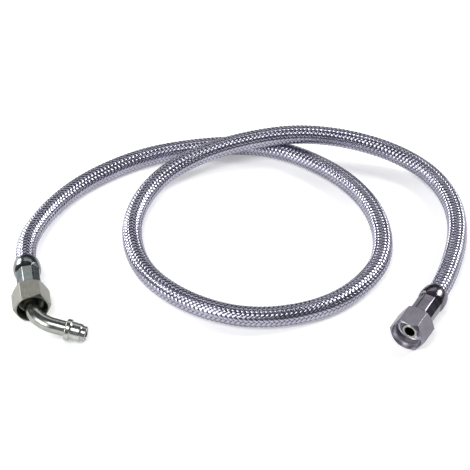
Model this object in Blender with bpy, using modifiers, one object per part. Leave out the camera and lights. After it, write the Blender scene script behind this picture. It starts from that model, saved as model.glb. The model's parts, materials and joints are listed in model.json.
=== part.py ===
"""Flexible supply line: a rubber-lined, wire-braided hose with two crimped swivel fittings.

One end carries a coned nipple with a union nut. The other carries a bent tube with a
cutting ring near its tip, and the union nut that belongs to it, pushed back to the ferrule.
The hose lies on a table in one loop and crosses over itself.
"""
import math

import bmesh
import bpy
import numpy as np
from mathutils import Matrix, Vector

MM = 0.001
GAP = 0.3                     # clearance kept between neighbouring pieces, mm

# Hose, mm
HOSE_RADIUS = 5.5
BRAID_WALL = 0.5
LINER_RADIUS = HOSE_RADIUS - BRAID_WALL - GAP
LINER_BORE_RADIUS = 3.15
CRIMP_SQUEEZE = 0.93          # hose radius under the crimp, as a share of the free radius
HOSE_POINTS = 62

# Tube end of both fittings, mm
TUBE_RADIUS = 4.0
TUBE_BORE_RADIUS = 2.75
BEND_RADIUS = 16.0
BEND_ANGLE = 66.0             # degrees
BEND_START = 2.0              # depth inside the nut mouth where the bend begins
BEND_TILT = -9.7              # degrees, the bent end dips until its ring meets the table
TUBE_END_RUN = 17.0           # straight run after the bend

# Union nut, M14 x 1.5 for 8 mm tube, mm
NUT_FLATS = 17.0
NUT_LENGTH = 13.5
THREAD_RADIUS = 6.2
MOUTH_RADIUS = 7.3
RELIEF_RADIUS = 7.0           # plain bore in front of the thread
RELIEF_DEPTH = 4.0
NUT_FACE_RADIUS = 8.4
NUT_BACK_RADIUS = 7.9
NUT_CORNER_RADIUS = 9.9
NUT_BORE_RADIUS = TUBE_RADIUS + GAP

# Ferrule, mm
FERRULE_START = NUT_LENGTH + 0.6
FERRULE_END = 36.3
CRIMP_APOTHEM = 6.15
CRIMP_JAWS = 8
CRIMP_END = 28.5
FERRULE_BORE_RADIUS = 5.45

# Nipple, mm, as depths behind the nut mouth
NOSE_DEPTH = 3.6
COLLAR_START = 14.6
COLLAR_END = 17.6
COLLAR_RADIUS = 5.0
HOSE_START = COLLAR_END + GAP
TAIL_END = 33.0
TAIL_BORE_RADIUS = 1.6
BARB_RADIUS = 2.5
BARB_ROOT_RADIUS = 2.25
BARB_PITCH = 3.6

# Where each nut mouth is, and which way it faces, in degrees to the right of -Y
ELBOW_MOUTH = (-98.3, -6.3)
ELBOW_HEADING = 12.0
STRAIGHT_MOUTH = (88.6, -25.7)
STRAIGHT_HEADING = -31.2
AXIS_HEIGHT = NUT_FLATS / 2

# Free route of the hose, from the elbow ferrule to the straight ferrule, mm
ROUTE = [
    (-107.3, 44, 8), (-105.2, 59, 6.9), (-99, 76.5, 5.8), (-83, 100.5, 5.5), (-67, 115, 5.5),
    (-47.5, 127, 5.5), (-24.5, 134.5, 5.5), (-1, 138, 5.5), (18, 137, 5.5), (36, 130.5, 5.5),
    (54, 118, 5.5), (69, 101.5, 5.5), (79.5, 81.5, 5.5), (84, 57, 5.5), (80.5, 33, 5.5),
    (70, 15.5, 5.5), (54, 1.5, 5.5), (33, -7, 5.5), (10, -8.5, 5.5), (-11.5, -2, 5.5),
    (-30, 10.5, 5.5), (-43, 26, 5.5), (-50.5, 46, 5.5), (-52, 67, 5.6), (-46.5, 89, 6.4),
    (-37, 104.5, 8.3), (-21, 117, 11.3), (-1, 125, 14.6), (19, 130, 16.6), (36, 133, 17),
    (57, 134.2, 15.4), (78, 132, 12.3), (99, 124, 9), (113.8, 111.5, 6.8), (123, 94.5, 5.7),
    (126.3, 69.5, 5.5), (118, 30, 7.1),
]

STEEL = (0.55, 0.55, 0.54)
DARK_STEEL = (0.30, 0.31, 0.32)
WIRE = (0.62, 0.62, 0.66)
RUBBER = (0.02, 0.02, 0.02)


def new_collection(name):
    """Add a collection to the scene."""
    collection = bpy.data.collections.new(name)
    bpy.context.scene.collection.children.link(collection)
    return collection


def new_material(name, color, roughness, metallic):
    """Principled material for one sub-part."""
    material = bpy.data.materials.new(name)
    material.use_nodes = True
    shader = material.node_tree.nodes["Principled BSDF"]
    shader.inputs["Base Color"].default_value = (*color, 1)
    shader.inputs["Roughness"].default_value = roughness
    shader.inputs["Metallic"].default_value = metallic
    return material


def finish_part(obj, collection, parent, color, roughness, metallic=1.0):
    """Give a sub-part its collection, parent and material."""
    collection.objects.link(obj)
    obj.parent = parent
    obj.data.materials.append(new_material(obj.name, color, roughness, metallic))
    return obj


def fitting_axis(name, collection, mouth, heading):
    """Empty at the nut mouth: local Z points out of the mouth, local Y points up."""
    turn = math.radians(heading)
    out = Vector((math.sin(turn), -math.cos(turn), 0))
    side = Vector((math.cos(turn), math.sin(turn), 0))
    up = Vector((0, 0, 1))
    empty = bpy.data.objects.new(name, None)
    place = Matrix((side, up, out)).transposed().to_4x4()
    place.translation = Vector((mouth[0], mouth[1], AXIS_HEIGHT)) * MM
    empty.matrix_world = place
    collection.objects.link(empty)
    return empty


def turned(name, outer, inner, steps=32):
    """Hollow turned piece from (radius, depth) points; both sides run from mouth to back."""
    profile = list(outer) + list(inner)[::-1]
    mesh = bpy.data.meshes.new(name)
    verts = [(radius * MM, 0, -depth * MM) for radius, depth in profile]
    count = len(verts)
    mesh.from_pydata(verts, [(i, (i + 1) % count) for i in range(count)], [])
    obj = bpy.data.objects.new(name, mesh)
    screw = obj.modifiers.new("turn", "SCREW")
    screw.steps = steps
    screw.render_steps = steps
    screw.use_merge_vertices = True
    screw.merge_threshold = 0.00001
    return obj


def add_boolean(obj, cutter, operation):
    """Cut or trim a piece with a cutter."""
    modifier = obj.modifiers.new(operation.lower(), "BOOLEAN")
    modifier.operation = operation
    modifier.object = cutter
    modifier.solver = "EXACT"


def guide(name, mesh, cutters, parent):
    """Hidden cutter that follows a fitting's axis."""
    obj = bpy.data.objects.new(name, mesh)
    obj.parent = parent
    obj.hide_render = True
    obj.display_type = "WIRE"
    cutters.objects.link(obj)
    return obj


def hex_mesh():
    """Hexagonal bar, longer than the nut, with a flat on top."""
    bm = bmesh.new()
    corner = NUT_FLATS / 2 / math.cos(math.pi / 6) * MM
    bmesh.ops.create_cone(bm, cap_ends=True, segments=6, radius1=corner, radius2=corner,
                          depth=NUT_LENGTH * 2 * MM)
    first = bm.verts[:][0].co
    turn = -math.atan2(first.y, first.x)
    bmesh.ops.rotate(bm, verts=bm.verts, matrix=Matrix.Rotation(turn, 3, "Z"))
    bmesh.ops.translate(bm, verts=bm.verts, vec=(0, 0, -NUT_LENGTH / 2 * MM))
    mesh = bpy.data.meshes.new("hex_bar")
    bm.to_mesh(mesh)
    bm.free()
    return mesh


def jaw_mesh():
    """Ring of crimping jaws, one block for each flat that they press into the ferrule."""
    bm = bmesh.new()
    width = 2 * CRIMP_APOTHEM * math.tan(math.pi / CRIMP_JAWS) * 0.96
    length = CRIMP_END - FERRULE_START - 1.0
    middle = (CRIMP_END + FERRULE_START + 1.0) / 2
    height = 3.0
    for i in range(CRIMP_JAWS):
        block = bmesh.ops.create_cube(bm, size=1)["verts"]
        bmesh.ops.scale(bm, verts=block, vec=Vector((height, width, length)) * MM)
        offset = Vector((CRIMP_APOTHEM + height / 2, 0, -middle)) * MM
        bmesh.ops.translate(bm, verts=block, vec=offset)
        turn = Matrix.Rotation(2 * math.pi * i / CRIMP_JAWS, 3, "Z")
        bmesh.ops.rotate(bm, verts=block, cent=(0, 0, 0), matrix=turn)
    mesh = bpy.data.meshes.new("crimp_jaws")
    bm.to_mesh(mesh)
    bm.free()
    return mesh


def union_nut(name, parts, cutters, parent):
    """Hexagonal nut: plain bore at the mouth, thread bore, inner cone, close bore at the back."""
    thread_start = RELIEF_DEPTH + RELIEF_RADIUS - THREAD_RADIUS
    cone_start = 8.8
    cone_end = cone_start + THREAD_RADIUS - NUT_BORE_RADIUS
    outer = [(NUT_FACE_RADIUS, 0), (NUT_CORNER_RADIUS, 0.7),
             (NUT_CORNER_RADIUS, NUT_LENGTH - 1.5), (NUT_BACK_RADIUS, NUT_LENGTH)]
    inner = [(MOUTH_RADIUS, 0), (RELIEF_RADIUS, MOUTH_RADIUS - RELIEF_RADIUS),
             (RELIEF_RADIUS, RELIEF_DEPTH), (THREAD_RADIUS, thread_start),
             (THREAD_RADIUS, cone_start), (NUT_BORE_RADIUS, cone_end),
             (NUT_BORE_RADIUS, NUT_LENGTH)]
    nut = turned(name, outer, inner)
    add_boolean(nut, guide(name + "_hex", hex_mesh(), cutters, parent), "INTERSECT")
    return finish_part(nut, parts, parent, STEEL, 0.38)


def ferrule(name, parts, cutters, parent):
    """Crimped sleeve: eight flats near the nut, a full round bulge at the hose end."""
    outer = [(5.6, FERRULE_START), (6.2, FERRULE_START + 0.6), (6.5, FERRULE_START + 1.6),
             (6.5, 22), (6.75, 27.5), (7.15, 29.5), (7.25, 31.5), (7.0, 34),
             (6.55, 35.6), (6.15, FERRULE_END)]
    inner = [(COLLAR_RADIUS + GAP, FERRULE_START), (COLLAR_RADIUS + GAP, 15.6),
             (FERRULE_BORE_RADIUS, 15.9), (FERRULE_BORE_RADIUS, 28.5),
             (HOSE_RADIUS + GAP, 31), (HOSE_RADIUS + GAP, FERRULE_END)]
    sleeve = turned(name, outer, inner)
    add_boolean(sleeve, guide(name + "_jaws", jaw_mesh(), cutters, parent), "DIFFERENCE")
    return finish_part(sleeve, parts, parent, DARK_STEEL, 0.22)


def barbed_tail():
    """Outer side of the nipple's tail, from its collar to its tip."""
    points = [(BARB_ROOT_RADIUS, COLLAR_END)]
    depth = COLLAR_END + 1.5
    while depth + BARB_PITCH < TAIL_END:
        points += [(BARB_RADIUS, depth), (BARB_ROOT_RADIUS, depth + BARB_PITCH - 0.4)]
        depth += BARB_PITCH
    return points + [(BARB_ROOT_RADIUS, TAIL_END)]


def straight_nipple(parts, parent):
    """Nipple with a 24 degree cone at its nose, and the shoulder that the nut pulls on."""
    shoulder = 8.9
    outer = [(TUBE_RADIUS - 0.3, NOSE_DEPTH), (TUBE_RADIUS, NOSE_DEPTH + 0.3),
             (5.0, 8.3), (5.0, shoulder), (TUBE_RADIUS, shoulder + 1),
             (TUBE_RADIUS, COLLAR_START), (COLLAR_RADIUS, COLLAR_START),
             (COLLAR_RADIUS, COLLAR_END)] + barbed_tail()
    inner = [(TUBE_BORE_RADIUS, NOSE_DEPTH), (TUBE_BORE_RADIUS, COLLAR_START),
             (TAIL_BORE_RADIUS, COLLAR_END - 1), (TAIL_BORE_RADIUS, TAIL_END)]
    nipple = turned("straight_nipple", outer, inner)
    return finish_part(nipple, parts, parent, STEEL, 0.25)


def elbow_nipple(parts, parent):
    """Nipple with a socket in its collar, where the bent tube is brazed."""
    socket_floor = COLLAR_END - 0.8
    outer = [(COLLAR_RADIUS, COLLAR_START), (COLLAR_RADIUS, COLLAR_END)] + barbed_tail()
    inner = [(TUBE_RADIUS + GAP, COLLAR_START), (TUBE_RADIUS + GAP, socket_floor),
             (TAIL_BORE_RADIUS, socket_floor), (TAIL_BORE_RADIUS, TAIL_END)]
    nipple = turned("elbow_nipple", outer, inner)
    finish_part(nipple, parts, parent, STEEL, 0.25)
    return socket_floor - GAP


def bend_direction():
    """Unit vector, in the fitting's frame, that the tube bends towards."""
    tilt = math.radians(BEND_TILT)
    return Vector((math.cos(tilt), math.sin(tilt), 0))


def elbow_path(start_depth):
    """Centreline of the bent tube in the fitting's frame, and its end direction."""
    aside = bend_direction()
    ahead = Vector((0, 0, 1))
    angle = math.radians(BEND_ANGLE)
    points = [ahead * -start_depth]
    for i in range(10):
        turn = angle * i / 9
        along = BEND_RADIUS * math.sin(turn) - BEND_START
        across = BEND_RADIUS * (1 - math.cos(turn))
        points.append(ahead * along + aside * across)
    direction = ahead * math.cos(angle) + aside * math.sin(angle)
    points.append(points[-1] + direction * TUBE_END_RUN)
    return points, direction


def pipe(name, points, radius, wall, resolution, squeeze=None):
    """Open-ended round tube along a line of points, its wall grown inwards."""
    curve = bpy.data.curves.new(name, "CURVE")
    curve.dimensions = "3D"
    curve.bevel_depth = radius * MM
    curve.bevel_resolution = resolution
    curve.use_fill_caps = False
    spline = curve.splines.new("POLY")
    spline.points.add(len(points) - 1)
    for i, point in enumerate(points):
        spline.points[i].co = (*(Vector(point) * MM), 1)
        spline.points[i].radius = 1.0 if squeeze is None else squeeze[i]
    spline.use_smooth = True
    obj = bpy.data.objects.new(name, curve)
    solidify = obj.modifiers.new("wall", "SOLIDIFY")
    solidify.thickness = wall * MM
    solidify.offset = -1
    solidify.use_even_offset = True
    return obj


def cutting_ring(parts, collection, parent, tip, direction):
    """Ring pressed on the tube near its tip: a tall collar and a lower, tapered body."""
    body_start = 2.5
    collar_start = 7.9
    collar_end = 10.5
    outer = [(4.5, body_start), (4.7, body_start + 0.6), (4.7, collar_start),
             (5.4, collar_start), (5.6, collar_start + 0.3),
             (5.6, collar_end - 0.3), (5.3, collar_end)]
    inner = [(TUBE_RADIUS + 0.2, body_start), (TUBE_RADIUS + 0.2, collar_end)]
    axis = bpy.data.objects.new("tube_tip_axis", None)
    axis.parent = parent
    side = Vector((0, 1, 0)).cross(direction).normalized()
    place = Matrix((side, direction.cross(side), direction)).transposed().to_4x4()
    place.translation = tip * MM
    axis.matrix_local = place
    collection.objects.link(axis)
    ring = turned("cutting_ring", outer, inner)
    return finish_part(ring, parts, axis, STEEL, 0.2)


def smooth_route(points, count):
    """Natural cubic spline through the points, read at evenly spaced places."""
    knots = np.array(points, float)
    chord = np.linalg.norm(np.diff(knots, axis=0), axis=1)
    at = np.concatenate([[0], np.cumsum(chord)])
    size = len(knots)
    system = np.eye(size)
    bend = np.zeros((size, 3))
    for i in range(1, size - 1):
        before, after = chord[i - 1], chord[i]
        system[i, i - 1:i + 2] = before, 2 * (before + after), after
        bend[i] = 6 * ((knots[i + 1] - knots[i]) / after - (knots[i] - knots[i - 1]) / before)
    moment = np.linalg.solve(system, bend)

    def read(t):
        i = np.clip(np.searchsorted(at, t, side="right") - 1, 0, size - 2)
        step = chord[i][:, None]
        back = (at[i + 1] - t)[:, None]
        front = (t - at[i])[:, None]
        curve = (moment[i] * back ** 3 + moment[i + 1] * front ** 3) / (6 * step)
        line = (knots[i] / step - moment[i] * step / 6) * back
        return curve + line + (knots[i + 1] / step - moment[i + 1] * step / 6) * front

    fine = read(np.linspace(0, at[-1], size * 40))
    run = np.concatenate([[0], np.cumsum(np.linalg.norm(np.diff(fine, axis=0), axis=1))])
    even = np.linspace(0, run[-1], count)
    return np.column_stack([np.interp(even, run, fine[:, i]) for i in range(3)]), even


def hose_line(elbow_axis, straight_axis):
    """Hose centreline from nipple to nipple, and its squeeze inside the ferrules."""
    def on_axis(empty, depth):
        return tuple(empty.matrix_world @ Vector((0, 0, -depth * MM)) / MM)

    depths = (HOSE_START, 27, FERRULE_END)
    start = [on_axis(elbow_axis, depth) for depth in depths]
    finish = [on_axis(straight_axis, depth) for depth in reversed(depths)]
    points, run = smooth_route(start + ROUTE + finish, HOSE_POINTS)
    to_end = np.minimum(run, run[-1] - run)
    under_crimp = CRIMP_END - HOSE_START
    free = FERRULE_END - HOSE_START
    share = np.clip((to_end - under_crimp) / (free - under_crimp), 0, 1)
    return points, CRIMP_SQUEEZE + (1 - CRIMP_SQUEEZE) * share


def build():
    """Build the whole supply line."""
    for obj in list(bpy.data.objects):
        bpy.data.objects.remove(obj, do_unlink=True)
    parts = new_collection("braided_supply_line")
    cutters = new_collection("cutters")

    elbow_axis = fitting_axis("elbow_axis", parts, ELBOW_MOUTH, ELBOW_HEADING)
    straight_axis = fitting_axis("straight_axis", parts, STRAIGHT_MOUTH, STRAIGHT_HEADING)

    union_nut("elbow_nut", parts, cutters, elbow_axis)
    ferrule("elbow_ferrule", parts, cutters, elbow_axis)
    tube_start = elbow_nipple(parts, elbow_axis)
    path, direction = elbow_path(tube_start)
    tube = pipe("elbow_tube", path, TUBE_RADIUS, TUBE_RADIUS - TUBE_BORE_RADIUS, 6)
    finish_part(tube, parts, elbow_axis, STEEL, 0.15)
    cutting_ring(parts, parts, elbow_axis, path[-1], direction)

    union_nut("straight_nut", parts, cutters, straight_axis)
    ferrule("straight_ferrule", parts, cutters, straight_axis)
    straight_nipple(parts, straight_axis)

    line, squeeze = hose_line(elbow_axis, straight_axis)
    braid = pipe("wire_braid", line, HOSE_RADIUS, BRAID_WALL, 3, squeeze)
    finish_part(braid, parts, None, WIRE, 0.3)
    liner = pipe("inner_tube", line, LINER_RADIUS, LINER_RADIUS - LINER_BORE_RADIUS, 3, squeeze)
    finish_part(liner, parts, None, RUBBER, 0.7, 0.0)


build()
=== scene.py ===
import json
import math
import bpy
import numpy as np
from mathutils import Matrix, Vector


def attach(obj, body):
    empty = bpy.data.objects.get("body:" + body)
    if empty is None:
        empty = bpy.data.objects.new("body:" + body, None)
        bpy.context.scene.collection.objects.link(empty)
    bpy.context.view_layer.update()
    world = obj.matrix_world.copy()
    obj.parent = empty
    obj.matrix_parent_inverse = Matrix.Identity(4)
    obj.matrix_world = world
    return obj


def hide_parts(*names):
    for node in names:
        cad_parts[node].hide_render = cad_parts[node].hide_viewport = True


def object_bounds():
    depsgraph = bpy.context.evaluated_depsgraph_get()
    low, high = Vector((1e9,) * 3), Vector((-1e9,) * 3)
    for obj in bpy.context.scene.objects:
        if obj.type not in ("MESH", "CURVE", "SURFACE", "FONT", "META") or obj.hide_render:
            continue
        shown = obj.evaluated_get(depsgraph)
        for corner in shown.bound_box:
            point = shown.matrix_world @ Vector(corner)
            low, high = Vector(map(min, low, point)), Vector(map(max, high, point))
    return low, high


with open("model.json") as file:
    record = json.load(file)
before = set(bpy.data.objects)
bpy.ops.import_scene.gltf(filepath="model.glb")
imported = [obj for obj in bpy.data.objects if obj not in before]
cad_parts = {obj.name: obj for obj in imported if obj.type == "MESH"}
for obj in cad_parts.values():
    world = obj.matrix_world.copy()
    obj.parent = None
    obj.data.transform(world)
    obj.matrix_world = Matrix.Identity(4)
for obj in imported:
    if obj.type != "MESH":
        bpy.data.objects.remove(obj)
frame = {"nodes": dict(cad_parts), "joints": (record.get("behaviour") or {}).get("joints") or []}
cadLow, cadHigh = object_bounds()
nodes = frame["nodes"]
joints = {joint["name"]: joint for joint in frame["joints"]}
scene = bpy.context.scene
mm = 0.001

shot = {
    "elevation": 40.0,               # degrees above the table
    "distance": 0.700,               # m, to the point it looks at
    "lens": 97.35,                   # mm, on a 36 mm sensor
    "aimOffset": (-0.0055, 0.0055),  # m, from the middle of the object's box
    "farthest": 20,                  # m, that it sees
}
middle = (cadLow + cadHigh) / 2
aim = Vector((middle.x + shot["aimOffset"][0], middle.y + shot["aimOffset"][1], 0))
tilt = math.radians(shot["elevation"])
backward = Vector((0, -math.cos(tilt), math.sin(tilt)))
cameraData = bpy.data.cameras.new("camera")
cameraData.lens = shot["lens"]
cameraData.clip_end = shot["farthest"]
camera = bpy.data.objects.new("camera", cameraData)
camera.location = aim + backward * shot["distance"]
camera.rotation_euler = (-backward).to_track_quat("-Z", "Y").to_euler()
scene.collection.objects.link(camera)
scene.camera = camera


# sRGB hex to linear light: a straight line near black, and a power of 2.4 above it
def linear(hexColour):
    channels = [int(hexColour[i:i + 2], 16) / 255 for i in (1, 3, 5)]
    light = [c / 12.92 if c <= 0.04045 else ((c + 0.055) / 1.055) ** 2.4 for c in channels]
    return (*light, 1.0)


# adds one node with its settings; an input given as (node, output) becomes a link
def addNode(tree, kind, inputs=None, **settings):
    node = tree.nodes.new(kind)
    for key, value in settings.items():
        setattr(node, key, value)
    for key, value in (inputs or {}).items():
        if isinstance(value, tuple) and isinstance(value[0], bpy.types.Node):
            tree.links.new(value[0].outputs[value[1]], node.inputs[key])
        else:
            node.inputs[key].default_value = value
    return node


# grids of points, shape (strands, rows, columns, 3), as one mesh of closed skins. Columns wrap
# round; rows wrap too when they are a loop, and otherwise each end is closed by one flat face.
# The skin is turned outward by the sign of its volume. Lines of points in creaseColumns stay sharp.
def skin(name, points, loop=True, creaseColumns=(), attributes=None):
    if points.ndim == 3:
        points = points[None]
    strands, rows, columns = points.shape[:3]
    index = np.arange(strands * rows * columns).reshape(strands, rows, columns)
    near = index if loop else index[:, :-1]
    far = np.roll(index, -1, axis=1) if loop else index[:, 1:]
    quads = np.stack([near, np.roll(near, -1, 2), np.roll(far, -1, 2), far], axis=-1).reshape(-1, 4)
    flat = points.reshape(-1, 3)
    corner = flat[quads] - flat.mean(axis=0)
    volume = (corner[:, 0] * np.cross(corner[:, 1], corner[:, 2])).sum()
    volume += (corner[:, 0] * np.cross(corner[:, 2], corner[:, 3])).sum()
    caps = np.empty((0, columns), int) if loop else np.concatenate([index[:, 0, ::-1], index[:, -1]])
    if volume < 0:
        quads, caps = quads[:, ::-1], caps[:, ::-1]
    sizes = np.concatenate([np.full(len(quads), 4), np.full(len(caps), columns)])
    mesh = bpy.data.meshes.new(name)
    mesh.vertices.add(len(flat))
    mesh.vertices.foreach_set("co", flat.astype(np.float32).ravel())
    mesh.loops.add(sizes.sum())
    mesh.loops.foreach_set("vertex_index", np.concatenate([quads.ravel(), caps.ravel()]).astype(np.int32))
    mesh.polygons.add(len(sizes))
    mesh.polygons.foreach_set("loop_start", (np.cumsum(sizes) - sizes).astype(np.int32))
    mesh.polygons.foreach_set("loop_total", sizes.astype(np.int32))
    mesh.update(calc_edges=True)
    mesh.polygons.foreach_set("use_smooth", np.ones(len(sizes), bool))
    if len(creaseColumns):
        ends = np.empty(len(mesh.edges) * 2, np.int32)
        mesh.edges.foreach_get("vertices", ends)
        column = ends.reshape(-1, 2) % columns
        sharp = (column[:, 0] == column[:, 1]) & np.isin(column[:, 0], creaseColumns)
        mesh.attributes.new("sharp_edge", "BOOLEAN", "EDGE").data.foreach_set("value", sharp)
    for key, values in (attributes or {}).items():
        data = np.broadcast_to(values, points.shape[:3]).astype(np.float32).ravel()
        mesh.attributes.new(key, "FLOAT", "POINT").data.foreach_set("value", data)
    mesh.validate()
    piece = bpy.data.objects.new(name, mesh)
    scene.collection.objects.link(piece)
    return piece


# natural cubic spline through the knots, read at evenly spaced places: the second derivatives
# come from one linear system, and each span is the usual blend of its ends and their curvature
def smoothRoute(knots, count, finePerKnot=40):
    knots = np.array(knots, float)
    chord = np.linalg.norm(np.diff(knots, axis=0), axis=1)
    at = np.concatenate([[0], np.cumsum(chord)])
    slopes = np.diff(knots, axis=0) / chord[:, None]
    inner = np.arange(1, len(knots) - 1)
    system = np.eye(len(knots))
    system[inner, inner - 1], system[inner, inner + 1] = chord[:-1], chord[1:]
    system[inner, inner] = 2 * (chord[:-1] + chord[1:])
    moment = np.linalg.solve(system, np.pad(6 * np.diff(slopes, axis=0), ((1, 1), (0, 0))))
    t = np.linspace(0, at[-1], len(knots) * finePerKnot)
    i = np.clip(np.searchsorted(at, t, side="right") - 1, 0, len(chord) - 1)
    step, left, right = chord[i, None], (at[i + 1] - t)[:, None], (t - at[i])[:, None]
    fine = (moment[i] * left ** 3 + moment[i + 1] * right ** 3) / (6 * step)
    fine += (knots[i] / step - moment[i] * step / 6) * left
    fine += (knots[i + 1] / step - moment[i + 1] * step / 6) * right
    run = np.concatenate([[0], np.cumsum(np.linalg.norm(np.diff(fine, axis=0), axis=1))])
    even = np.linspace(0, run[-1], count)
    return np.stack([np.interp(even, run, fine[:, k]) for k in range(3)], axis=-1)


# a line of points as a path: distance run, centre, and two directions across it, one level and
# one as upright as the line allows
def makePath(points):
    ahead = np.gradient(points, axis=0)
    ahead /= np.linalg.norm(ahead, axis=1, keepdims=True)
    side = np.cross(ahead, [0, 0, 1.0])
    side /= np.linalg.norm(side, axis=1, keepdims=True)
    run = np.concatenate([[0], np.cumsum(np.linalg.norm(np.diff(points, axis=0), axis=1))])
    return {"run": run, "centre": points, "side": side, "up": np.cross(side, ahead), "ahead": ahead}


# points at a radius and angle round a path, at any distance along it
def aroundPath(path, run, radius, angle):
    def readOff(key):
        return np.stack([np.interp(run, path["run"], path[key][:, k]) for k in range(3)], axis=-1)

    centre, side, up = readOff("centre"), readOff("side"), readOff("up")
    return centre + radius[..., None] * (side * np.cos(angle)[..., None] + up * np.sin(angle)[..., None])


# a fitting's place from its nut's joint: mouth centre, the way out, sideways and up
def fittingPlace(jointName):
    out = np.array(joints[jointName]["axis"], float)
    out /= np.linalg.norm(out)
    up = np.array([0, 0, 1.0])
    mouth = np.array(joints[jointName]["pos_m"], float)
    return {"mouth": mouth, "out": out, "side": np.cross(up, out), "up": up}


# a point on a fitting's axis, so many mm behind the mouth
def onAxis(place, depth):
    return place["mouth"] - place["out"] * depth * mm


elbowPlace = fittingPlace("elbow_nut_spin")
straightPlace = fittingPlace("straight_nut_spin")

# lengths in mm unless they say otherwise
hose = {
    "nippleDepth": 17.9,        # where the hose starts inside the ferrule
    "straightDepth": 27,        # it is still straight here
    "crimpDepth": 28.5,         # end of the crimped stretch
    "exitDepth": 36.3,          # where it leaves the ferrule
    "squeeze": 0.93,            # share of its free radius under the crimp
    "diameter": 11.0,
    "coreRadius": 4.68,
    "boreRadius": 3.15,
    "coreColumns": 32,
    "coreRows": 700,
    "pathPoints": 1600,
    "cordEvery": 20,            # the cord's route takes one path point in so many
    "route": [                  # its centre on the table, from the elbow's ferrule to the other
        (-107.3, 44, 8), (-105.2, 59, 6.9), (-99, 76.5, 5.8), (-83, 100.5, 5.5), (-67, 115, 5.5),
        (-47.5, 127, 5.5), (-24.5, 134.5, 5.5), (-1, 138, 5.5), (18, 137, 5.5), (36, 130.5, 5.5),
        (54, 118, 5.5), (69, 101.5, 5.5), (79.5, 81.5, 5.5), (84, 57, 5.5), (80.5, 33, 5.5),
        (70, 15.5, 5.5), (54, 1.5, 5.5), (33, -7, 5.5), (10, -8.5, 5.5), (-11.5, -2, 5.5),
        (-30, 10.5, 5.5), (-43, 26, 5.5), (-50.5, 46, 5.5), (-52, 67, 5.6), (-46.5, 89, 6.4),
        (-37, 104.5, 8.3), (-21, 117, 11.3), (-1, 125, 14.6), (19, 130, 16.6), (36, 133, 17),
        (57, 134.2, 15.4), (78, 132, 12.3), (99, 124, 9), (113.8, 111.5, 6.8), (123, 94.5, 5.7),
        (126.3, 69.5, 5.5), (118, 30, 7.1),
    ],
}
axisDepths = (hose["nippleDepth"], hose["straightDepth"], hose["exitDepth"])
knots = [onAxis(elbowPlace, depth) for depth in axisDepths]
knots += [np.array(point) * mm for point in hose["route"]]
knots += [onAxis(straightPlace, depth) for depth in axisDepths[::-1]]
hosePath = makePath(smoothRoute(knots, hose["pathPoints"]))
hoseLength = hosePath["run"][-1] / mm


# how far the crimp squeezes the hose, as a share, at distances along it in mm: level under the
# crimp, then a straight rise to its free size where it leaves the ferrule
def crimpShare(run):
    fromEnd = np.minimum(run, hoseLength - run) + hose["nippleDepth"]
    free = np.clip((fromEnd - hose["crimpDepth"]) / (hose["exitDepth"] - hose["crimpDepth"]), 0, 1)
    return hose["squeeze"] + (1 - hose["squeeze"]) * free


# hose core: a tube swept along the path, out along its outside and back along its bore
runOut = np.linspace(0, hoseLength, hose["coreRows"])
runs = np.concatenate([runOut, runOut[::-1]])[:, None]
radii = np.repeat([hose["coreRadius"], hose["boreRadius"]], hose["coreRows"])[:, None]
turns = np.arange(hose["coreColumns"])[None] * 2 * np.pi / hose["coreColumns"]
runs, turns = np.broadcast_arrays(runs, turns)
core = skin("hoseCore", aroundPath(hosePath, runs * mm, radii * crimpShare(runs) * mm, turns))

# wire braid: flat bundles of wires wound both ways, each passing over two and under two.
# A bundle's angle grows (or falls) by one turn per pitch. At a point of it, the count of the
# bundle that crosses there is (angle +- turns along) * bundles / turn, and its height is a
# cosine of the sum of both counts. Across a bundle the wires are a row of ridges on a low crown.
braid = {
    "bundles": 12,            # each way
    "pitch": 28.8,            # one turn of a bundle
    "middleRadius": 5.10,
    "wave": 0.27,             # rise above and below the middle radius
    "wires": 5,               # in one bundle
    "bundleWidth": 1.60,
    "wireHeight": 0.12,
    "crown": 0.13,            # how much lower the outer wires lie
    "groove": 0.035,          # depth between wires
    "underside": -0.12,
    "undersideWidth": 0.84,   # share of the bundle's width
    "step": 0.6,
    "endGap": 9.0,            # starts this far inside the hose's end
    "bundlesPerPiece": 4,
    "bundleSeed": (12.9, 4.1),   # steps of the sines that give each bundle and wire its own tone
    "wireSeed": (7.3, 3.7),
    "bundleShare": 0.6,          # of the tone; the rest is the wire's
}


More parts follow.
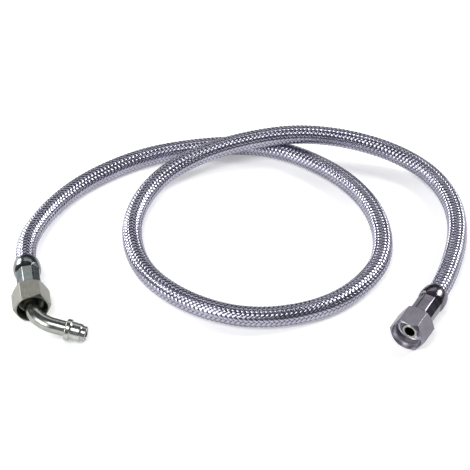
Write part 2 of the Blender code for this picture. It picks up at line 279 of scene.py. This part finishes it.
# some bundles of one hand (1 or -1). The section goes over the wires and back under the bundle,
# and stands square to the bundle's slope, so a point beside its middle is also a little along it.
def braidPiece(name, first, hand):
    count = braid["bundles"]
    wires = braid["wires"]
    middleRadius = braid["middleRadius"]
    across = np.linspace(-0.5, 0.5, 2 * wires + 1) * braid["bundleWidth"]
    rise = braid["wireHeight"] - braid["crown"] * (2 * across / braid["bundleWidth"]) ** 2
    rise -= np.where(np.arange(2 * wires + 1) % 2, 0, braid["groove"])
    under = braid["undersideWidth"]
    across = np.concatenate([across, [across[-1] * under, across[0] * under]])
    rise = np.concatenate([rise, [braid["underside"]] * 2])
    run = np.arange(braid["endGap"], hoseLength - braid["endGap"], braid["step"])[None, :, None]
    bundle = (first + np.arange(braid["bundlesPerPiece"]))[:, None, None]
    slope = 2 * np.pi * middleRadius / braid["pitch"]
    level = 1 / math.hypot(1, slope)
    placeRun = run - across * slope * level
    angle = 2 * np.pi * (bundle / count + hand * run / braid["pitch"])
    angle = angle + hand * across * level / middleRadius
    crossing = (angle / (2 * np.pi) + hand * placeRun / braid["pitch"]) * count
    height = hand * np.cos(np.pi * (bundle + crossing - 0.5) / 2)
    radius = middleRadius + braid["wave"] * height + rise
    placeRun = np.broadcast_to(placeRun, radius.shape)
    points = aroundPath(hosePath, placeRun * mm, radius * crimpShare(placeRun) * mm, angle)
    grooves = list(range(2, 2 * wires, 2)) + [0, 2 * wires]
    wireNumber = np.floor(np.arange(len(across)) / 2)
    bundleSeed = np.sin(bundle * braid["bundleSeed"][0] + hand * braid["bundleSeed"][1])
    wireSeed = np.sin(bundle * braid["wireSeed"][0] + wireNumber * braid["wireSeed"][1] + hand)
    share = braid["bundleShare"]
    return skin(name, points, False, grooves, {
        "height": (radius - middleRadius) / (braid["wave"] + braid["wireHeight"]) * 0.5 + 0.5,
        "seed": (bundleSeed * share + wireSeed * (1 - share)) * 0.5 + 0.5})


braidPieces = []
for hand, label in ((1, "Right"), (-1, "Left")):
    for number in range(braid["bundles"] // braid["bundlesPerPiece"]):
        piece = braidPiece(f"braid{label}{number + 1}", number * braid["bundlesPerPiece"], hand)
        braidPieces.append(piece)

cordPath = [Vector(point) for point in hosePath["centre"][::hose["cordEvery"]]]
cordPath.append(Vector(hosePath["centre"][-1]))
for piece in [core] + braidPieces:
    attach(piece, "hose_assembly")
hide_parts("inner_tube")
for piece in braidPieces:
    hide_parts("wire_braid")
print(f"hose: {hoseLength:.1f} mm, {len(braidPieces)} braid pieces")


# rounds the corners of an outline with parabolas. Corners are (radius, depth) with shape
# (corners, columns, 2), so that one outline can change round the piece; rounding is in mm. A
# corner takes mostShare of a side at most, and one more row past each end of it keeps the flat flat.
def roundOutline(corners, rounding, steps, mostShare=0.42, pastEnd=1.18):
    before, after = np.roll(corners, 1, axis=0) - corners, np.roll(corners, -1, axis=0) - corners
    lengthBefore = np.linalg.norm(before, axis=-1, keepdims=True) + 1e-9
    lengthAfter = np.linalg.norm(after, axis=-1, keepdims=True) + 1e-9
    wanted = np.asarray(rounding, float)[:, None, None]
    toStart = before / lengthBefore * np.minimum(wanted, mostShare * lengthBefore)
    toEnd = after / lengthAfter * np.minimum(wanted, mostShare * lengthAfter)
    start, end = (corners + toStart)[:, None], (corners + toEnd)[:, None]
    t = np.linspace(0, 1, steps + 1)[None, :, None, None]
    curve = (1 - t) ** 2 * start + 2 * t * (1 - t) * corners[:, None] + t ** 2 * end
    first, last = (corners + toStart * pastEnd)[:, None], (corners + toEnd * pastEnd)[:, None]
    return np.concatenate([first, curve, last], axis=1).reshape(-1, corners.shape[1], 2)


# (radius, depth) rows in mm put round an axis
def aroundAxis(place, outline, angle):
    across = place["side"] * np.cos(angle)[:, None] + place["up"] * np.sin(angle)[:, None]
    return place["mouth"] + outline[..., :1] * mm * across - place["out"] * outline[..., 1:] * mm


# a turned piece: its corners, each (radius, depth, rounding), go round its axis
def turnedPiece(name, corners, place, columns=112, steps=4):
    corners = np.array(corners, float)
    wide = np.repeat(corners[:, None, :2], columns, axis=1)
    angle = np.arange(columns) * 2 * np.pi / columns
    rows = roundOutline(wide, corners[:, 2], steps)
    points = aroundAxis(place, rows, angle)
    return skin(name, points, attributes={"turned": 1.0, "cutLength": rows.sum(axis=-1)})


# columns of a regular prism with rounded corners: the angle and radius of points spaced by a
# sine along each flat, closer near its ends, and evenly round each corner's arc
def prismColumns(sides, apothem, rounding, turn, flatPoints=15, arcPoints=5):
    half = np.pi / sides
    reach = (apothem - rounding) * math.tan(half)
    spread = np.sin(np.linspace(-np.pi / 2, np.pi / 2, flatPoints)) * reach
    arc = np.linspace(0, 2 * half, arcPoints + 2)[1:-1]
    x = np.concatenate([np.full(flatPoints, apothem), apothem - rounding + rounding * np.cos(arc)])
    y = np.concatenate([spread, reach + rounding * np.sin(arc)])
    sector = np.arange(sides)[:, None] * 2 * half + turn
    return (np.arctan2(y, x) + sector).ravel(), np.tile(np.hypot(x, y), sides)


# union nut, M14 x 1.5, 17 mm across its flats
nut = {
    "sides": 6,
    "flats": 17.0,
    "length": 13.5,
    "cornerRounding": 0.30,     # between two flats
    "faceRadius": 8.2,          # flat ring round the mouth
    "frontSlope": 0.85,         # chamfer behind it, depth per radius
    "backRadius": 7.9,
    "backSlope": 0.8,
    "mouthRadius": 7.95,        # narrows to the relief
    "mouthDepth": 2.2,
    "reliefRadius": 7.0,        # smooth, before the thread
    "reliefDepth": 4.4,
    "threadRadius": 6.22,
    "threadPitch": 1.5,
    "threadEnd": 8.8,
    "threadRows": 60,
    "threadGap": 0.1,           # its first row stands clear of the cone's rounding
    "ridgeShare": 0.9,          # height of a ridge, of the room up to the relief
    "ridgeSwing": 0.68,         # over 0.5 gives the ridges flat tops and roots
    "boreRadius": 4.3,
    "outsideRounding": [0.12, 0.16, 0.16, 0.15, 0.15, 0.10, 0.02],
    "mouthRounding": [0.05, 0.12, 0.10],
    "roundingSteps": 4,
    "outsideCorners": 5,        # the rest are inside, apart from the mouth's edge
}


# a closed outline that changes round the nut: the bar's own radius cut back by two chamfers, then
# the bore, a cone, the thread and the mouth
def unionNut(name, place):
    angle, bar = prismColumns(nut["sides"], nut["flats"] / 2, nut["cornerRounding"], np.pi / nut["sides"])
    one = np.ones_like(bar)

    def corner(radius, depth):
        return np.stack([radius * one, depth * one], axis=-1)

    threadStart = nut["reliefDepth"] + nut["reliefRadius"] - nut["threadRadius"]
    coneEnd = nut["threadEnd"] + nut["threadRadius"] - nut["boreRadius"]
    outside = np.array([
        corner(nut["faceRadius"], 0),
        corner(bar, (bar - nut["faceRadius"]) * nut["frontSlope"]),
        corner(bar, nut["length"] - (bar - nut["backRadius"]) * nut["backSlope"]),
        corner(nut["backRadius"], nut["length"]),
        corner(nut["boreRadius"], nut["length"]),
        corner(nut["boreRadius"], coneEnd),
        corner(nut["threadRadius"], nut["threadEnd"])])
    mouth = np.array([
        corner(nut["reliefRadius"], nut["reliefDepth"]),
        corner(nut["reliefRadius"], nut["mouthDepth"]),
        corner(nut["mouthRadius"], 0)])
    # thread: one rounded ridge per pitch, its phase turning once round the nut
    depth = np.linspace(nut["threadEnd"] - nut["threadGap"], threadStart, nut["threadRows"])[:, None] * one
    phase = depth / nut["threadPitch"] - angle / (2 * np.pi)
    ridge = np.clip(0.5 + nut["ridgeSwing"] * np.cos(2 * np.pi * phase), 0, 1)
    room = (nut["reliefRadius"] - nut["threadRadius"]) * nut["ridgeShare"]
    thread = np.stack([nut["threadRadius"] + room * ridge, depth], axis=-1)
    corners = np.concatenate([outside, mouth])
    rounding = nut["outsideRounding"] + nut["mouthRounding"]
    rows = roundOutline(corners, rounding, nut["roundingSteps"])
    perCorner = len(rows) // len(corners)
    split = len(outside) * perCorner
    rows = np.concatenate([rows[:split], thread, rows[split:]])
    turned = np.zeros(rows.shape[:2])
    turned[nut["outsideCorners"] * perCorner:-perCorner] = 1
    points = aroundAxis(place, rows, angle)
    return skin(name, points, attributes={"turned": turned, "cutLength": rows.sum(axis=-1)})


straightNut = unionNut("straightNut", straightPlace)
elbowNut = unionNut("elbowNut", elbowPlace)

# crimped ferrule: a turned profile cut down by eight jaw flats that run out up the bulge.
# The radius is the lesser of the profile and the flats, blended softly where they meet.
ferrule = {
    "profile": [                # (radius, depth) from the nut's side to the hose's
        (5.45, 14.1), (6.0, 14.25), (6.35, 14.8), (6.5, 15.7), (6.5, 22), (6.62, 25.5), (6.86, 27.6),
        (7.12, 29.3), (7.24, 31.0), (7.18, 32.6), (6.95, 34.2), (6.6, 35.5), (6.25, 36.15), (5.9, 36.3)],
    "bore": [                   # and back
        (5.62, 36.1), (5.56, 35.4), (5.56, 31), (5.45, 28.5), (5.45, 15.9), (5.3, 15.6), (5.3, 14.2)],
    "rows": 120,
    "blur": np.array([1, 2, 3, 2, 1]) / 9,
    "jaws": 8,
    "apothem": 6.1,
    "runOutStart": 26.6,
    "runOutEnd": 29.6,
    "runOutRise": 1.3,
    "runOutPower": 1.6,
    "leadDepth": 15.3,          # the flats open out again before this, at the nut's side
    "leadSlope": 0.5,
    "softness": 0.06,
    "columns": 176,
}


# the profile is read at even steps and blurred, then each column takes the soft lesser of it and
# its jaw's flat, whose radius is the apothem over the cosine of the angle from the flat's middle
def crimpedFerrule(name, place):
    profile = np.array(ferrule["profile"])
    along = np.concatenate([[0], np.cumsum(np.linalg.norm(np.diff(profile, axis=0), axis=1))])
    even = np.linspace(0, along[-1], ferrule["rows"])
    outer = np.stack([np.interp(even, along, profile[:, k]) for k in range(2)], axis=-1)
    margin = len(ferrule["blur"]) // 2
    padded = np.pad(outer, ((margin, margin), (0, 0)), mode="edge")
    outer = sum(weight * padded[i:i + len(outer)] for i, weight in enumerate(ferrule["blur"]))
    angle = np.arange(ferrule["columns"]) * 2 * np.pi / ferrule["columns"]
    sector = 2 * np.pi / ferrule["jaws"]
    fromFlat = (angle + sector / 2) % sector - sector / 2
    runOutLength = ferrule["runOutEnd"] - ferrule["runOutStart"]
    runOut = np.clip((outer[:, 1] - ferrule["runOutStart"]) / runOutLength, 0, None)
    apothem = ferrule["apothem"] + ferrule["runOutRise"] * runOut ** ferrule["runOutPower"]
    apothem += ferrule["leadSlope"] * np.clip(ferrule["leadDepth"] - outer[:, 1], 0, None)
    flats = apothem[:, None] / np.cos(fromFlat)
    sleeve = outer[:, :1] * np.ones_like(angle)
    radius = (flats + sleeve - np.sqrt((flats - sleeve) ** 2 + ferrule["softness"] ** 2)) / 2
    outside = np.stack([radius, outer[:, 1:] * np.ones_like(angle)], axis=-1)
    inside = np.repeat(np.array(ferrule["bore"])[:, None], len(angle), axis=1)
    # the narrow strips left between two flats have crisp sides
    perJaw = ferrule["columns"] // ferrule["jaws"]
    middles = np.arange(ferrule["jaws"]) * perJaw + perJaw // 2
    points = aroundAxis(place, np.concatenate([outside, inside]), angle)
    return skin(name, points, creaseColumns=np.concatenate([middles - 1, middles + 1]))


elbowFerrule = crimpedFerrule("elbowFerrule", elbowPlace)
straightFerrule = crimpedFerrule("straightFerrule", straightPlace)

# straight nipple: corners as (radius, depth, rounding)
nipple = {
    "nose": [(2.75, 3.6, 0.25), (3.75, 3.6, 0.2), (4.0, 3.95, 0.2)],
    "cone": [(5.0, 8.3, 0.1), (5.0, 8.9, 0.1), (4.0, 9.9, 0.1)],     # 24 degrees
    "collar": [(4.0, 14.6, 0.1), (5.0, 14.6, 0.2), (5.0, 17.6, 0.2), (2.25, 17.6, 0.1)],
    "barbs": [(2.5, 19.1, 0.1), (2.25, 22.3, 0.1), (2.5, 22.7, 0.1), (2.25, 25.9, 0.1),
              (2.5, 26.3, 0.1), (2.25, 29.5, 0.1)],
    "tail": [(2.25, 33, 0.1), (1.6, 33, 0.1)],
    "bore": [(1.6, 16.6, 0.3), (2.75, 14.6, 0.3)],
}
straightNipple = turnedPiece("straightNipple", sum(nipple.values(), []), straightPlace)

# bent tube: straight run, arc, straight run to a deburred tip
bend = {
    "radius": 16.0,
    "angle": 66.0,              # degrees
    "start": 2.0,               # behind the nut's mouth
    "tilt": -9.7,               # degrees from level, so the bend leans down
    "startDepth": 16.5,
    "endRun": 17.0,
    "runRows": 30,
    "arcRows": 60,
    "endRows": 34,
    "rowGap": 0.5,              # between the arc's end rows and its neighbours
    "tipOutside": [(0, 3.70), (0.03, 3.78), (0.2, 3.95), (0.30, 4)],    # (back from the tip, radius)
    "tipBore": [(0, 3.05), (0.05, 2.97), (0.3, 2.75)],
    "tipOutsideRows": [0.5, 0.3, 0.22, 0.1, 0.03, 0],
    "tipBoreRows": [0, 0.05, 0.2, 0.35, 0.6],
    "outsideRows": 110,         # even rows, up to this far from the tip
    "outsideRowsTo": 0.9,
    "boreRows": 60,
    "boreRowsTo": 1.0,
    "columns": 96,
}
tiltAngle = math.radians(bend["tilt"])
aside = elbowPlace["side"] * math.cos(tiltAngle) + elbowPlace["up"] * math.sin(tiltAngle)
sweep = np.linspace(0, math.radians(bend["angle"]), bend["arcRows"])
arcOut = bend["radius"] * np.sin(sweep) - bend["start"]
arcAside = bend["radius"] * (1 - np.cos(sweep))
runOut = np.linspace(-bend["startDepth"], -bend["start"] - bend["rowGap"], bend["runRows"])
endRun = np.linspace(bend["rowGap"], bend["endRun"], bend["endRows"])
endOut = arcOut[-1] + endRun * math.cos(sweep[-1])
endAside = arcAside[-1] + endRun * math.sin(sweep[-1])
distanceOut = np.concatenate([runOut, arcOut, endOut])[:, None]
distanceAside = np.concatenate([np.zeros(bend["runRows"]), arcAside, endAside])[:, None]
bendPoints = elbowPlace["mouth"] + (distanceOut * elbowPlace["out"] + distanceAside * aside) * mm
tubePath = makePath(bendPoints)
tubeLength = tubePath["run"][-1] / mm
evenOutside = np.linspace(tubeLength, bend["outsideRowsTo"], bend["outsideRows"])
evenBore = np.linspace(bend["boreRowsTo"], tubeLength, bend["boreRows"])
fromTipOutside = np.concatenate([evenOutside, bend["tipOutsideRows"]])
fromTipBore = np.concatenate([bend["tipBoreRows"], evenBore])
outsideRadii = np.interp(fromTipOutside, *zip(*bend["tipOutside"]))
boreRadii = np.interp(fromTipBore, *zip(*bend["tipBore"]))
runs = tubeLength - np.concatenate([fromTipOutside, fromTipBore])[:, None]
radii = np.concatenate([outsideRadii, boreRadii])[:, None]
turns = (np.arange(bend["columns"]) * 2 * np.pi / bend["columns"])[None]
runs, radii, turns = np.broadcast_arrays(runs, radii, turns)
elbowTube = skin("elbowTube", aroundPath(tubePath, runs * mm, radii * mm, turns))

# cutting ring: corners as (radius, distance back from the tube's tip, rounding)
ring = {
    "body": [(4.12, 2.5, 0.1), (4.45, 2.5, 0.12), (4.7, 3.2, 0.2), (4.7, 7.6, 0.12), (4.85, 7.9, 0.1)],
    "collar": [(5.4, 7.9, 0.2), (5.6, 8.3, 0.2), (5.6, 10.1, 0.2), (5.35, 10.5, 0.15), (4.12, 10.5, 0.1)],
}
tipPlace = {"mouth": tubePath["centre"][-1], "out": tubePath["ahead"][-1],
            "side": tubePath["side"][-1], "up": tubePath["up"][-1]}
cuttingRing = turnedPiece("cuttingRing", ring["body"] + ring["collar"], tipPlace)

for piece, body, slot, node in (
        (straightNut, "straight_nut", "straight_nut_steel", "straight_nut"),
        (elbowNut, "elbow_nut", "elbow_nut_steel", "elbow_nut"),
        (elbowFerrule, "hose_assembly", "ferrule_steel", "elbow_ferrule"),
        (straightFerrule, "hose_assembly", "ferrule_steel", "straight_ferrule"),
        (straightNipple, "hose_assembly", "nipple_steel", "straight_nipple"),
        (elbowTube, "hose_assembly", "tube_steel", "elbow_tube"),
        (cuttingRing, "hose_assembly", "ring_steel", "cutting_ring")):
    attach(piece, body)
    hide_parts(node)
print("fittings: nuts, ferrules, nipple, bent tube and cutting ring")


# Steel finishes. Grain is in noise cells per metre across the part, along it and up, coarser than
# the real grain so that it shows; heading turns it in line with the part, in degrees. The turned
# look is for what was cut on the lathe, with feed marks so many mm deep. On the two nuts the
# turned colours of the bore also carry painted light (straight nut) and painted shade (elbow nut).
finishes = {
    # zinc-plated free-cutting steel, milled from drawn hexagon bar: soft satin with lengthwise grain
    "zincPlatedDrawnBarWarm": {
        "plain": {"colours": ("#807f77", "#96958d"), "roughness": (0.30, 0.40)},
        # its bore and thread painted darker and greener than the outside: painted shade inside the nut
        "turned": {"colours": ("#6a6e62", "#7e8276"), "roughness": (0.31, 0.37)},
        "heading": 12.0, "grain": (2200, 260, 2200), "bump": 0.25, "feedDepth": 0.012},
    "zincPlatedDrawnBarCool": {
        "plain": {"colours": ("#74717a", "#8b8891"), "roughness": (0.30, 0.40)},
        # its bore and thread painted much lighter than the outside: painted light inside the nut
        "turned": {"colours": ("#c6c2cc", "#dedae4"), "roughness": (0.31, 0.37)},
        "heading": -31.2, "grain": (2200, 260, 2200), "bump": 0.25, "feedDepth": 0.02},
    # pressed sleeve, zinc plated over a dark passivation: glossy, rubbed smooth by the jaws
    "crimpedSleeveDarkZinc": {
        "plain": {"colours": ("#5f6564", "#757b7a"), "roughness": (0.18, 0.24)},
        "heading": 0.0, "grain": (200, 200, 200), "bump": 0.02},
    "crimpedSleeveCoolZinc": {
        "plain": {"colours": ("#5b5860", "#706c75"), "roughness": (0.18, 0.24)},
        "heading": 0.0, "grain": (200, 200, 200), "bump": 0.02},
    # precision drawn tube, bright zinc: nearly a mirror
    "brightDrawnTube": {
        "plain": {"colours": ("#8e908a", "#a4a6a0"), "roughness": (0.22, 0.28)},
        "heading": 12.0, "grain": (300, 300, 300), "bump": 0.02},
    # ring and nipple, turned all over, bright zinc: the finest feed marks
    "turnedBrightZinc": {
        "turned": {"colours": ("#9fa19b", "#b3b5af"), "roughness": (0.21, 0.27)},
        "heading": 0.0, "grain": (300, 300, 300), "bump": 0.02, "feedDepth": 0.003},
}
steelPattern = {
    "clouds": 220.0,            # noise cells per metre: patches of about 5 mm
    "toneStops": (0.36, 0.64),  # the middle of the noise, stretched over the two colours
    "roughStops": (0.35, 0.65),
    "grainHeight": 0.02,        # mm
    "feed": 0.40,               # mm from mark to mark, about four times the real feed, to show at all
}


# A metal from a finish. The mean of two noises, stretched grain and soft clouds, picks both the
# tone between two colours and the roughness between two values, and the grain lifts the surface a
# little. Where the attribute "turned" is 1 the turned look takes over from the plain one, and the
# surface is cut by a sine of the length along the outline, the attribute "cutLength", in mm.
def steel(name, finish):
    material = bpy.data.materials.new(name)
    material.use_nodes = True
    tree = material.node_tree
    shader = tree.nodes["Principled BSDF"]
    shader.inputs["Metallic"].default_value = 1.0
    where = addNode(tree, "ShaderNodeTexCoord")
    heading = math.radians(finish["heading"])
    inLine = addNode(tree, "ShaderNodeMapping", {"Vector": (where, "Object"), "Rotation": (0, 0, -heading)})
    stretched = addNode(tree, "ShaderNodeMapping", {"Vector": (inLine, "Vector"), "Scale": finish["grain"]})
    grain = addNode(tree, "ShaderNodeTexNoise", {
        "Vector": (stretched, "Vector"), "Scale": 1.0, "Detail": 3.0})
    clouds = addNode(tree, "ShaderNodeTexNoise", {
        "Vector": (where, "Object"), "Scale": steelPattern["clouds"], "Detail": 2.0})
    both = addNode(tree, "ShaderNodeMath", {0: (grain, "Fac"), 1: (clouds, "Fac")}, operation="ADD")
    mean = addNode(tree, "ShaderNodeMath", {0: (both, "Value"), 1: 0.5}, operation="MULTIPLY")
    looks = []
    for look in [finish[key] for key in ("plain", "turned") if key in finish]:
        tone = addNode(tree, "ShaderNodeValToRGB", {"Fac": (mean, "Value")})
        for stop, place, colour in zip(tone.color_ramp.elements, steelPattern["toneStops"], look["colours"]):
            stop.position = place
            stop.color = linear(colour)
        polish = addNode(tree, "ShaderNodeMapRange", {
            "Value": (mean, "Value"), "To Min": look["roughness"][0], "To Max": look["roughness"][1],
            "From Min": steelPattern["roughStops"][0], "From Max": steelPattern["roughStops"][1]})
        looks.append((tone, polish))
    lift = addNode(tree, "ShaderNodeBump", {
        "Height": (grain, "Fac"), "Strength": finish["bump"], "Distance": steelPattern["grainHeight"] * mm})
    colourFrom, roughFrom, normalFrom = (looks[0][0], "Color"), (looks[0][1], "Result"), (lift, "Normal")
    if "turned" in finish:
        turned = addNode(tree, "ShaderNodeAttribute", attribute_name="turned")
        cutLength = addNode(tree, "ShaderNodeAttribute", attribute_name="cutLength")
        perMm = 2 * math.pi / steelPattern["feed"]
        phase = addNode(tree, "ShaderNodeMath", {0: (cutLength, "Fac"), 1: perMm}, operation="MULTIPLY")
        wave = addNode(tree, "ShaderNodeMath", {0: (phase, "Value")}, operation="SINE")
        marks = addNode(tree, "ShaderNodeMath", {
            0: (wave, "Value"), 1: (turned, "Fac")}, operation="MULTIPLY")
        cut = addNode(tree, "ShaderNodeBump", {
            "Height": (marks, "Value"), "Strength": 1.0, "Distance": finish["feedDepth"] * mm,
            "Normal": normalFrom})
        normalFrom = (cut, "Normal")
    if len(looks) == 2:
        mixed = addNode(tree, "ShaderNodeMixRGB", {
            "Fac": (turned, "Fac"), "Color1": colourFrom, "Color2": (looks[1][0], "Color")})
        worked = addNode(tree, "ShaderNodeMix", {
            "Factor": (turned, "Fac"), "A": roughFrom, "B": (looks[1][1], "Result")})
        colourFrom, roughFrom = (mixed, "Color"), (worked, "Result")
    for key, (node, output) in (("Base Color", colourFrom), ("Roughness", roughFrom), ("Normal", normalFrom)):
        tree.links.new(node.outputs[output], shader.inputs[key])
    return material


steels = {name: steel(name, finish) for name, finish in finishes.items()}
for piece, finish in (
        (elbowNut, "zincPlatedDrawnBarWarm"),
        (straightNut, "zincPlatedDrawnBarCool"),
        (elbowFerrule, "crimpedSleeveDarkZinc"),
        (straightFerrule, "crimpedSleeveCoolZinc"),
        (elbowTube, "brightDrawnTube"),
        (cuttingRing, "turnedBrightZinc"),
        (straightNipple, "turnedBrightZinc")):
    piece.data.materials.append(steels[finish])
elbowNipple = nodes["elbow_nipple"]
elbowNipple.data.materials.clear()
elbowNipple.data.materials.append(steels["crimpedSleeveDarkZinc"])

# oil-resistant rubber core, seen only as dark gaps between the wires: dull, with a fine mottle
rubber = {
    "colours": ("#121216", "#222228"),
    "roughness": 0.6,
    "mottle": 900.0,            # noise cells per metre: specks of about 1 mm
}
rubberMaterial = bpy.data.materials.new("oilResistantRubber")
rubberMaterial.use_nodes = True
tree = rubberMaterial.node_tree
shader = tree.nodes["Principled BSDF"]
where = addNode(tree, "ShaderNodeTexCoord")
mottle = addNode(tree, "ShaderNodeTexNoise", {
    "Vector": (where, "Object"), "Scale": rubber["mottle"], "Detail": 3.0})
tone = addNode(tree, "ShaderNodeValToRGB", {"Fac": (mottle, "Fac")})
for stop, colour in zip(tone.color_ramp.elements, rubber["colours"]):
    stop.color = linear(colour)
tree.links.new(tone.outputs["Color"], shader.inputs["Base Color"])
shader.inputs["Roughness"].default_value = rubber["roughness"]
core.data.materials.append(rubberMaterial)

# drawn stainless wire: bright and cool on top, with painted shade darkening it deep in the weave where
# bundles pass under one another, and each bundle and wire a little lighter or darker than the next
wire = {
    "colours": ("#2e2f3b", "#b4b2c2"),   # painted shade deep in the weave, and the wire's own colour on top
    "paintedShadeHeights": (0.32, 0.84),             # where each begins, of the weave's whole depth
    "shades": (0.82, 1.0),               # darkest and lightest wire
    "roughness": (0.22, 0.28),
}
wireMaterial = bpy.data.materials.new("drawnStainlessWire")
wireMaterial.use_nodes = True
tree = wireMaterial.node_tree
shader = tree.nodes["Principled BSDF"]
shader.inputs["Metallic"].default_value = 1.0
height = addNode(tree, "ShaderNodeAttribute", attribute_name="height")
seed = addNode(tree, "ShaderNodeAttribute", attribute_name="seed")
# painted shade: the colour darkens with the height attribute, most where a bundle lies under another
tone = addNode(tree, "ShaderNodeValToRGB", {"Fac": (height, "Fac")})
for stop, place, colour in zip(tone.color_ramp.elements, wire["paintedShadeHeights"], wire["colours"]):
    stop.position = place
    stop.color = linear(colour)
shade = addNode(tree, "ShaderNodeMapRange", {
    "Value": (seed, "Fac"), "To Min": wire["shades"][0], "To Max": wire["shades"][1]})
colour = addNode(tree, "ShaderNodeVectorMath", {
    0: (tone, "Color"), 1: (shade, "Result")}, operation="MULTIPLY")
tree.links.new(colour.outputs["Vector"], shader.inputs["Base Color"])
polish = addNode(tree, "ShaderNodeMapRange", {
    "Value": (seed, "Fac"), "To Min": wire["roughness"][0], "To Max": wire["roughness"][1]})
tree.links.new(polish.outputs["Result"], shader.inputs["Roughness"])
for piece in braidPieces:
    piece.data.materials.append(wireMaterial)
print("finishes on every piece")

# plain pale floor, a dim room, and a few soft lights
stage = {
    "half": 6.0,                # m, from the middle to each side
    "colour": "#f4f4f4",
    "roughness": 0.9,
    "glow": 0.28,               # keeps it near white under lights that suit the metal
    "roomColour": "#6d6f78",
    "roomStrength": 0.62,
}
half = stage["half"]
floorMesh = bpy.data.meshes.new("floor")
floorMesh.from_pydata([(-half, -half, cadLow.z), (half, -half, cadLow.z),
                       (half, half, cadLow.z), (-half, half, cadLow.z)], [], [(0, 1, 2, 3)])
floor = bpy.data.objects.new("floor", floorMesh)
scene.collection.objects.link(floor)
floorPaint = bpy.data.materials.new("matteWhiteTable")
floorPaint.use_nodes = True
paint = floorPaint.node_tree.nodes["Principled BSDF"].inputs
paint["Base Color"].default_value = linear(stage["colour"])
paint["Roughness"].default_value = stage["roughness"]
paint["Emission Color"].default_value = linear("#ffffff")
paint["Emission Strength"].default_value = stage["glow"]
floorMesh.materials.append(floorPaint)

room = bpy.data.worlds.new("room")
room.use_nodes = True
air = room.node_tree.nodes["Background"].inputs
air["Color"].default_value = linear(stage["roomColour"])
air["Strength"].default_value = stage["roomStrength"]
scene.world = room

# each light: place and size in m, watts
lights = {
    "backLeft": {"at": (-1.50, 1.13, 0.61), "size": (0.75, 0.75), "power": 23},
    "backRight": {"at": (1.45, 0.70, 1.15), "size": (0.75, 0.75), "power": 29},
    "backPanel": {"at": (0.0, 1.15, 1.15), "size": (1.4, 0.5), "power": 3.4},
    "overhead": {"at": (-0.20, -0.42, 0.92), "size": (0.35, 0.35), "power": 3.8},
    "frontLeft": {"at": (-0.95, -0.62, 0.52), "size": (0.6, 0.6), "power": 9},
}
for name, light in lights.items():
    lamp = bpy.data.lights.new(name, "AREA")
    lamp.shape = "RECTANGLE"
    lamp.size, lamp.size_y = light["size"]
    lamp.energy = light["power"]
    lampObject = bpy.data.objects.new(name, lamp)
    lampObject.location = light["at"]
    lampObject.rotation_euler = (aim - Vector(light["at"])).to_track_quat("-Z", "Y").to_euler()
    scene.collection.objects.link(lampObject)
scene.view_settings.view_transform = "Standard"
print("stage and lights")
